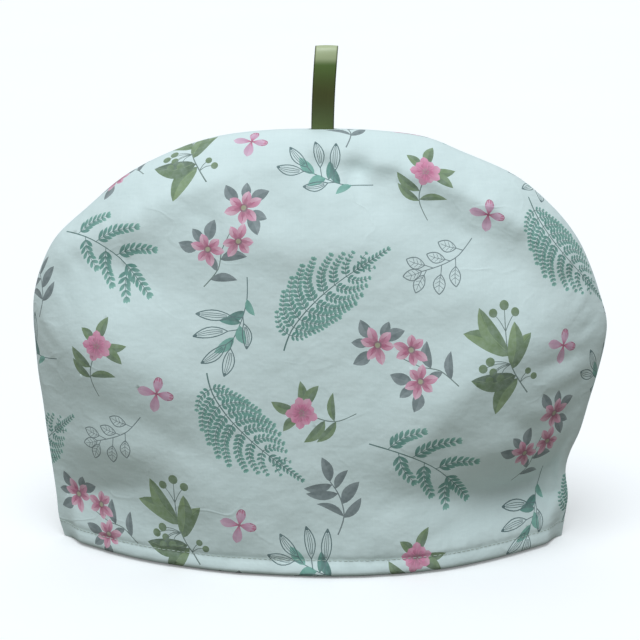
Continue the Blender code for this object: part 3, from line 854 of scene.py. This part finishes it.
def printed_cotton(weave):
    """Soft white cotton with the print dyed into it."""
    mat, tree, skin = new_material("printed cotton")
    cloth = linked(tree, "ShaderNodeUVMap", uv_map="cloth").outputs["UV"]
    threads = linked(tree, "ShaderNodeGroup", node_tree=weave)
    feed(tree, threads, Place=cloth)
    mottle = noise(tree, cloth, 26.0, 3.0, 0.6)
    washes = noise(tree, cloth, 260.0, 2.0, 0.6)
    print_layer = linked(tree, "ShaderNodeAttribute", attribute_name="print")
    white = blended(tree, mottle, (*ink(217, 236, 235), 1), (*ink(228, 244, 243), 1))
    watery = blended(tree, times(tree, washes, 0.34), print_layer.outputs["Color"], white)
    dyed = blended(tree, times(tree, print_layer.outputs["Alpha"], 0.96), white, watery)
    shade = plus(tree, times(tree, threads.outputs["Slubs"], 0.035), 0.965)
    final = blended(tree, 1.0, dyed, shade, "MULTIPLY")
    rumple = times(tree, noise(tree, cloth, 62.0, 3.0, 0.5), 0.0013)
    small_rumple = times(tree, noise(tree, stretched(tree, cloth, 120.0, 170.0), 1.0, 2.0, 0.5), 0.0004)
    # fine creases, here and there, as left by handling
    wander = noise(tree, stretched(tree, cloth, 17.0, 27.0), 1.0, 2.0)
    line = ranged(tree, away_from(tree, wander, 0.5), 0.0, 0.02, 1.0, 0.0)
    where = ranged(tree, noise(tree, cloth, 14.0, 1.0), 0.48, 0.62, 0.0, 1.0)
    creases = times(tree, times(tree, line, where), 0.00020)
    weaving = times(tree, threads.outputs["Height"], 0.000022)
    relief = plus(tree, weaving, plus(tree, plus(tree, rumple, small_rumple), creases))
    feed(tree, skin, Base_Color=final, Roughness=0.86, Normal=bumped(tree, relief, 0.7),
         Sheen_Weight=0.12, Sheen_Roughness=0.5, Specular_IOR_Level=0.3)
    return mat


def sewing_thread():
    mat, tree, skin = new_material("sewing thread")
    place = linked(tree, "ShaderNodeTexCoord").outputs["Object"]
    uneven = noise(tree, place, 900.0, 2.0)
    colour = blended(tree, uneven, (*ink(168, 184, 174), 1), (*ink(206, 220, 212), 1))
    feed(tree, skin, Base_Color=colour, Roughness=0.6, Sheen_Weight=0.2)
    return mat


def olive_satin(ribbon_length):
    """Ribbon satin: long shining threads, closer and darker at the two selvedges."""
    mat, tree, skin = new_material("olive satin ribbon")
    strip = linked(tree, "ShaderNodeUVMap", uv_map="cloth").outputs["UV"]
    split = feed(tree, linked(tree, "ShaderNodeSeparateXYZ"), Vector=strip)
    selvedge = RIBBON_WIDTH * 0.5 * MM
    from_middle = maths(tree, "ABSOLUTE", split.outputs[0])
    rim = ranged(tree, from_middle, selvedge - 0.0009, selvedge - 0.0002, 0.0, 1.0)
    fine = noise(tree, stretched(tree, strip, 4200.0, 60.0), 1.0, 2.0, 0.6)
    long_tone = noise(tree, stretched(tree, strip, 500.0, 25.0), 1.0, 2.0, 0.5)
    green = blended(tree, fine, (*ink(72, 76, 34), 1), (*ink(104, 110, 52), 1))
    toned = blended(tree, times(tree, long_tone, 0.5), green, (*ink(76, 88, 46), 1))
    # greener up towards the turn, paler where it meets the seam, and palest where it turns over: that pale
    # sage band is a painted highlight on the fold, not the satin's own colour
    from_turn = away_from(tree, split.outputs[1], ribbon_length / 2 * MM)
    bands = (
        # from, to (m from the turn), strength there, tint
        (0.010,  0.030,  0.75, 0.0,  ink(104, 136, 70)),
        (0.028,  0.050,  0.0,  0.60, ink(106, 128, 74)),
        # painted highlight: pale sage where the ribbon turns over at the top
        (0.0085, 0.0130, 0.78, 0.0,  ink(198, 210, 166)),
    )
    for low, high, start, end, tint in bands:
        toned = blended(tree, ranged(tree, from_turn, low, high, start, end, "SMOOTHSTEP"), toned, (*tint, 1))
    edged = blended(tree, times(tree, rim, 0.75), toned, (*ink(44, 52, 24), 1))
    crosswise = noise(tree, stretched(tree, strip, 120.0, 5200.0), 1.0, 1.0)
    relief = times(tree, plus(tree, fine, times(tree, crosswise, 0.6)), 0.00008)
    feed(tree, skin, Base_Color=edged, Roughness=0.36, Normal=bumped(tree, relief, 0.6), Sheen_Weight=0.35,
         Sheen_Roughness=0.35, Anisotropic=0.5, Specular_IOR_Level=0.6)
    return mat


def pale_table():
    """A pale matt table that throws little of its light back up at the cloth."""
    mat, tree, skin = new_material("pale table")
    place = linked(tree, "ShaderNodeTexCoord").outputs["Object"]
    tone = blended(tree, noise(tree, place, 3.0, 2.0), (0.86, 0.87, 0.87, 1), (0.89, 0.90, 0.90, 1))
    feed(tree, skin, Base_Color=tone, Roughness=0.75, Emission_Color=(0.94, 0.97, 1.0, 1),
         Emission_Strength=0.20)
    dim = feed(tree, linked(tree, "ShaderNodeBsdfDiffuse"), Color=(0.27, 0.27, 0.24, 1))
    camera_sees(tree, skin.outputs["BSDF"], dim.outputs["BSDF"], "Material Output")
    return mat


# ---------------------------------------- the two panels
def put(name, data):
    obj = bpy.data.objects.new(name, data)
    bpy.context.collection.objects.link(obj)
    return obj


def shapes_on(cut):
    """Every coloured shape of the print on a panel cut at that place from the cloth."""
    laid = []
    (ax, bx), (ay, by) = REPEAT_STEPS
    for motif, across, up, turn, side in ONE_REPEAT:
        for i in range(-4, 5):
            for j in range(-4, 5):
                a, b = across + cut[0] + i * ax + j * ay, up + cut[1] + i * bx + j * by
                if abs(a) < 225 and -40 < b < 300:
                    laid += MOTIFS[motif].turned(a, b, turn, side)
    return laid


def triangulated(loop, points, outlines):
    """Fill the loop with triangles that keep to the points and to the edges of the outlines."""
    coords, edges = [*loop, *points], []
    for outline in outlines:
        first = len(coords)
        edges += [(first + k, first + (k + 1) % len(outline)) for k in range(len(outline))]
        coords += [*outline]
    verts, _, tris, came_from, _, inside = delaunay_2d_cdt(
        [Vector(p) for p in coords], edges, [list(range(len(loop)))], 1, 1e-5, True)
    return np.array(verts), np.array([t for t, within in zip(tris, inside) if within]), came_from


def topmost(middles, outlines):
    """The last outline that each of the middles lies in, or -1."""
    top = np.full(len(middles), -1)
    order = np.argsort(middles[:, 0])
    x = middles[order, 0]
    for k, outline in enumerate(outlines):
        low, high = outline.min(0), outline.max(0)
        near = order[np.searchsorted(x, low[0]):np.searchsorted(x, high[0])]
        near = near[(middles[near, 1] > low[1]) & (middles[near, 1] < high[1])]
        if not len(near):
            continue
        px, py = middles[near, 0][:, None], middles[near, 1][:, None]
        ax, ay = outline[:, 0], outline[:, 1]
        bx, by = np.roll(ax, -1), np.roll(ay, -1)
        with np.errstate(divide="ignore", invalid="ignore"):
            crosses = ((ay > py) != (by > py)) & (px < ax + (py - ay) * (bx - ax) / (by - ay))
        top[near[crosses.sum(1) % 2 == 1]] = k
    return top


def border_of(triangles):
    """The rim of a set of triangles, as one closed loop of points in the triangles' own direction."""
    ways = {(t[k], t[(k + 1) % 3]): True for t in triangles for k in range(3)}
    after = {a: b for a, b in ways if (b, a) not in ways}
    first = min(after)
    loop = [first]
    while after[loop[-1]] != first:
        loop.append(after[loop[-1]])
    return loop


def outward_normals(points, triangles):
    """Smooth normals at the points of a triangle mesh."""
    p, q, r = (points[triangles[:, k]] for k in range(3))
    face = np.cross(q - p, r - p)
    total = np.zeros_like(points)
    for k in range(3):
        np.add.at(total, triangles[:, k], face)
    return total / np.maximum(np.linalg.norm(total, axis=1, keepdims=True), 1e-12)


def inner_face(panel, points, normals, on_rim):
    """The outer face taken in by the wall, kept to its own side of the seam and above the table."""
    on_hem = on_rim & (points[:, 2] < 1e-6)
    on_seam = on_rim & (np.abs(points[:, 1]) < SEAM_GAP + RIBBON_MOUTH + 1e-6)
    flat = normals * np.stack([np.ones(len(points)), ~on_seam, ~on_hem], -1)
    length = np.maximum(np.linalg.norm(flat, axis=1, keepdims=True), 1e-9)
    taken_in = np.where(on_rim[:, None], flat / length / np.maximum(length, 0.45), normals)
    inner = points - taken_in * WALL
    inner[:, 1] = panel.facing * np.maximum(panel.facing * inner[:, 1], SEAM_GAP)
    inner[on_seam, 1] = points[on_seam, 1]
    inner[:, 2] = np.maximum(inner[:, 2], np.where(on_hem, 0.0, 0.4))
    return inner


def panel_piece(name, panel, cut, mat):
    """One padded panel: its printed outer face, its plain inner face and the edges between them."""
    shapes = shapes_on(cut)
    outlines = [s[0] for s in shapes]
    flat, tris, _ = triangulated(panel.outline(), panel.points(OUTER_STEP, HEM_STEP, OUTER_CLEAR), outlines)
    used = np.unique(tris)
    index = np.full(len(flat), -1)
    index[used] = np.arange(len(used))
    flat, tris = flat[used], index[tris]
    top = topmost(flat[tris].mean(1), outlines)
    loop = border_of(tris)
    rim = np.zeros(len(flat), bool)
    rim[loop] = True
    outer = panel.place(flat, rim)

    # the inner face shares the rim and has far fewer points
    inner_points = panel.points(INNER_STEP, INNER_STEP, INNER_CLEAR)
    inner_flat, inner_tris, came_from = triangulated(flat[loop], inner_points, [])
    inner_rim = {min(first): k for k, first in enumerate(came_from) if min(first) < len(loop)}
    on_rim = np.zeros(len(inner_flat), bool)
    on_rim[list(inner_rim.values())] = True
    beneath = panel.place(inner_flat, on_rim)
    for k, v in inner_rim.items():
        beneath[v] = outer[loop[k]]
    facing_out = outward_normals(beneath, inner_tris[:, ::-panel.facing])
    inner = inner_face(panel, beneath, facing_out, on_rim)

    start = len(outer)
    following = loop[1:] + loop[:1]
    lower = [start + inner_rim[k] for k in range(len(loop))]
    edge = list(zip(loop, lower, lower[1:] + lower[:1], following))
    faces = tris.tolist() + (inner_tris[:, ::-1] + start).tolist() + [list(f) for f in edge]
    if panel.facing > 0:
        faces = [f[::-1] for f in faces]
    mesh = bpy.data.meshes.new(name)
    mesh.from_pydata((np.concatenate([outer, inner]) * MM).tolist(), [], faces)
    mesh.materials.append(mat)

    # the print's colour at each corner, and the cloth's own lie as a UV map
    corner = tris[:, ::-1] if panel.facing > 0 else tris
    starts = np.array([s[1] for s in shapes])[top]
    runs = np.array([s[2] - s[1] for s in shapes])[top]
    first, last = (np.array([s[k] for s in shapes])[top] for k in (3, 4))
    share = np.einsum("tck,tk->tc", flat[corner] - starts[:, None], runs)
    share = np.clip(share / np.maximum((runs ** 2).sum(1), 1e-9)[:, None], 0, 1)[..., None]
    tint = first[:, None] * (1 - share) + last[:, None] * share
    covered = (top >= 0)[:, None, None] * np.ones((1, 3, 1))
    colours = np.zeros((len(mesh.loops), 4), np.float32)
    colours[:corner.size] = np.concatenate([tint * covered, covered], -1).reshape(-1, 4)
    mesh.color_attributes.new("print", "FLOAT_COLOR", "CORNER").data.foreach_set("color", colours.ravel())
    vertex = np.empty(len(mesh.loops), int)
    mesh.loops.foreach_get("vertex_index", vertex)
    cloth = np.concatenate([flat, inner_flat]) * MM
    mesh.uv_layers.new(name="cloth").data.foreach_set("uv", cloth[vertex].astype(np.float32).ravel())

    mesh.shade_smooth()
    folded = {frozenset(pair) for pair in [*zip(loop, following), *zip(lower, lower[1:] + lower[:1])]}
    flags = [frozenset(e.vertices) in folded for e in mesh.edges]
    mesh.attributes.new("sharp_edge", "BOOLEAN", "EDGE").data.foreach_set("value", flags)
    mesh.update()
    return put(name, mesh)


# ---------------------------------------- the stitching along the hem
def stitch_tree(mat):
    """Short threads laid end to end along a path."""
    tree, start, end = new_group(
        "hem stitches", "GeometryNodeTree", ("INPUT", "Path", "Geometry"),
        ("INPUT", "Pitch", "Float", 0.0030), ("INPUT", "Stitch length", "Float", 0.0024),
        ("INPUT", "Thread thickness", "Float", 0.0005), ("INPUT", "Thread", "Material", mat),
        ("OUTPUT", "Stitches", "Geometry"))

    def step(kind, **inputs):
        return feed(tree, linked(tree, "GeometryNode" + kind), **inputs)

    path = step("MeshToCurve", Mesh=start.outputs["Path"])
    spaced = feed(tree, linked(tree, "GeometryNodeResampleCurve", mode="LENGTH"), Curve=path.outputs["Curve"],
                  Length=start.outputs["Pitch"])
    stitch = step("MeshUVSphere", Segments=6, Rings=6, Radius=0.5)
    tangent = step("InputTangent").outputs["Tangent"]
    turned = feed(tree, linked(tree, "FunctionNodeAlignRotationToVector", axis="Z"), Vector=tangent)
    uneven = feed(tree, linked(tree, "FunctionNodeRandomValue", data_type="FLOAT"), n2=0.86, n3=1.08, Seed=4)
    long = times(tree, start.outputs["Stitch length"], uneven.outputs[1])
    thickness = start.outputs["Thread thickness"]
    size = feed(tree, linked(tree, "ShaderNodeCombineXYZ"), X=thickness, Y=thickness, Z=long)
    placed = step("InstanceOnPoints", Points=spaced.outputs["Curve"], Instance=stitch.outputs["Mesh"],
                  Rotation=turned.outputs["Rotation"], Scale=size.outputs["Vector"])
    real = step("RealizeInstances", Geometry=placed.outputs["Instances"])
    smoothed = step("SetShadeSmooth", Geometry=real.outputs["Geometry"])
    dyed = step("SetMaterial", Geometry=smoothed.outputs["Geometry"], Material=start.outputs["Thread"])
    tree.links.new(dyed.outputs["Geometry"], end.inputs["Stitches"])
    return tree


def hem_stitches(panels, mat):
    """The row of topstitching round both panels."""
    verts, edges = [], []
    seam_away, inset, lift, count = 150.0, 1.2, 0.12, 500
    for panel in panels:
        bearing = math.asin(STITCH_HEIGHT / seam_away)
        left, right = panel.reach(math.pi - bearing), panel.reach(bearing)
        x = np.linspace(-left + inset, right - inset, count)
        z = np.full(len(x), STITCH_HEIGHT)
        line = panel.stand(x, z, panel.depth(x, z) + lift) * MM
        edges += [(len(verts) + k, len(verts) + k + 1) for k in range(len(line) - 1)]
        verts += line.tolist()
    mesh = bpy.data.meshes.new("hem path")
    mesh.from_pydata(verts, edges, [])
    guide = put("hem path", mesh)
    guide.modifiers.new("stitches", "NODES").node_group = stitch_tree(mat)
    bpy.context.view_layer.update()
    made = bpy.data.meshes.new_from_object(guide.evaluated_get(bpy.context.evaluated_depsgraph_get()))
    bpy.data.objects.remove(guide)
    return put("hem_stitches", made)


# ---------------------------------------- the ribbon loop
def ribbon_path():
    """The ribbon's middle line, as y and z from one foot to the other, and how far along it each point is."""
    half = spline([(gap, z) for z, gap in LOOP] + [(0.0, LOOP_TOP)], 8)
    path = np.concatenate([half * (-1, 1), half[-2::-1]])
    return path, run_along(path)


def ribbon_piece(path, run, mat):
    """A flat ribbon taken up, folded over and down again, slightly dished across its width."""
    way = np.gradient(path, axis=0)
    way /= np.hypot(*way.T)[:, None]
    out = np.stack([-way[:, 1], way[:, 0]], -1)
    across = 12
    share = np.linspace(-0.5, 0.5, across + 1)
    verts, cloth = [], []
    for (y, z), (oy, oz), length in zip(path, out, run):
        rise = (z - RIBBON_FOOT) / (RIBBON_TOP - RIBBON_FOOT)
        middle = RIBBON_X + RIBBON_LEAN * rise * rise
        for s in share:
            # its edges turn in a little towards the loop, more so higher up
            dish = -RIBBON_DISH * rise * (2 * s) ** 2
            verts.append((middle + RIBBON_WIDTH * s, y + oy * dish, z + oz * dish))
            cloth.append((RIBBON_WIDTH * s, length))
    row = across + 1
    corners = [j * row + i for j in range(len(path) - 1) for i in range(across)]
    faces = [(k, k + 1, k + row + 1, k + row) for k in corners]
    mesh = bpy.data.meshes.new("ribbon")
    mesh.from_pydata((np.array(verts) * MM).tolist(), [], faces)
    layer = mesh.uv_layers.new(name="cloth")
    for corner in mesh.loops:
        layer.data[corner.index].uv = [v * MM for v in cloth[corner.vertex_index]]
    mesh.materials.append(mat)
    mesh.shade_smooth()
    obj = put("ribbon", mesh)
    wall = obj.modifiers.new("thickness", "SOLIDIFY")
    wall.thickness, wall.offset, wall.use_even_offset = RIBBON_THICK * MM, 0.0, True
    return obj


# ---------------------------------------- camera, light and table
def place_camera():
    tilt, distance, height = math.radians(15.0), 1.150, 0.120
    data = bpy.data.cameras.new("camera")
    data.lens, data.sensor_width, data.shift_y = 112.3, 36.0, 0.0298
    camera = put("camera", data)
    camera.location = (0.0, -distance * math.cos(tilt), height + distance * math.sin(tilt))
    camera.rotation_euler = (math.pi / 2 - tilt, 0.0, 0.0)
    bpy.context.scene.camera = camera


SUNS = (
    # name, the way it shines, its spread in degrees, energy, colour
    ("window light", (0.07, 0.40, -0.87), 40, 2.02, (0.945, 1.0, 1.05)),
    ("back light", (0.0, -0.55, -0.83), 60, 0.40, (0.97, 1.0, 1.03)),
)


def place_lights():
    """One broad soft light from above the camera, a weak one from behind, and a pale room."""
    for name, toward, spread, energy, colour in SUNS:
        data = bpy.data.lights.new(name, "SUN")
        data.angle, data.energy, data.color = math.radians(spread), energy, colour
        lamp = put(name, data)
        lamp.location = (0.0, 0.0, 1.5)
        lamp.rotation_euler = Vector(toward).to_track_quat("-Z", "Y").to_euler()
    world = bpy.data.worlds.new("room")
    world.use_nodes = True
    tree = world.node_tree
    lit = feed(tree, tree.nodes["Background"], Color=(0.95, 0.98, 1.0, 1), Strength=0.28)
    seen = feed(tree, linked(tree, "ShaderNodeBackground"), Color=(0.96, 1.0, 1.0, 1), Strength=1.0)
    camera_sees(tree, seen.outputs["Background"], lit.outputs["Background"], "World Output")
    bpy.context.scene.world = world
    bpy.context.scene.view_settings.view_transform = "Standard"


def lay_table():
    """A table that reaches past the horizon, a hair below the hem."""
    mesh = bpy.data.meshes.new("table")
    far, below = 60.0, 0.0004
    mesh.from_pydata([(-far, -far, 0), (far, -far, 0), (far, far, 0), (-far, far, 0)], [], [(0, 1, 2, 3)])
    mesh.materials.append(pale_table())
    table = put("table", mesh)
    table.location.z = -below


# ---------------------------------------- the cosy
place_camera()
place_lights()
lay_table()

cotton = printed_cotton(weave_group())
front = Panel(FRONT_FOLDS, FRONT_CREASES, -1, 11)
back = Panel(BACK_FOLDS, (), 1, 29)
for name, panel, cut in (("front", front, FRONT_CUT), ("back", back, BACK_CUT)):
    piece = panel_piece("cotton_" + name, panel, cut, cotton)
    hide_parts("panel_" + name)
    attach(piece, "root")

stitches = hem_stitches((front, back), sewing_thread())
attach(stitches, "root")

path, run = ribbon_path()
ribbon = ribbon_piece(path, run, olive_satin(run[-1]))
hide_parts("ribbon_loop")
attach(ribbon, "root")
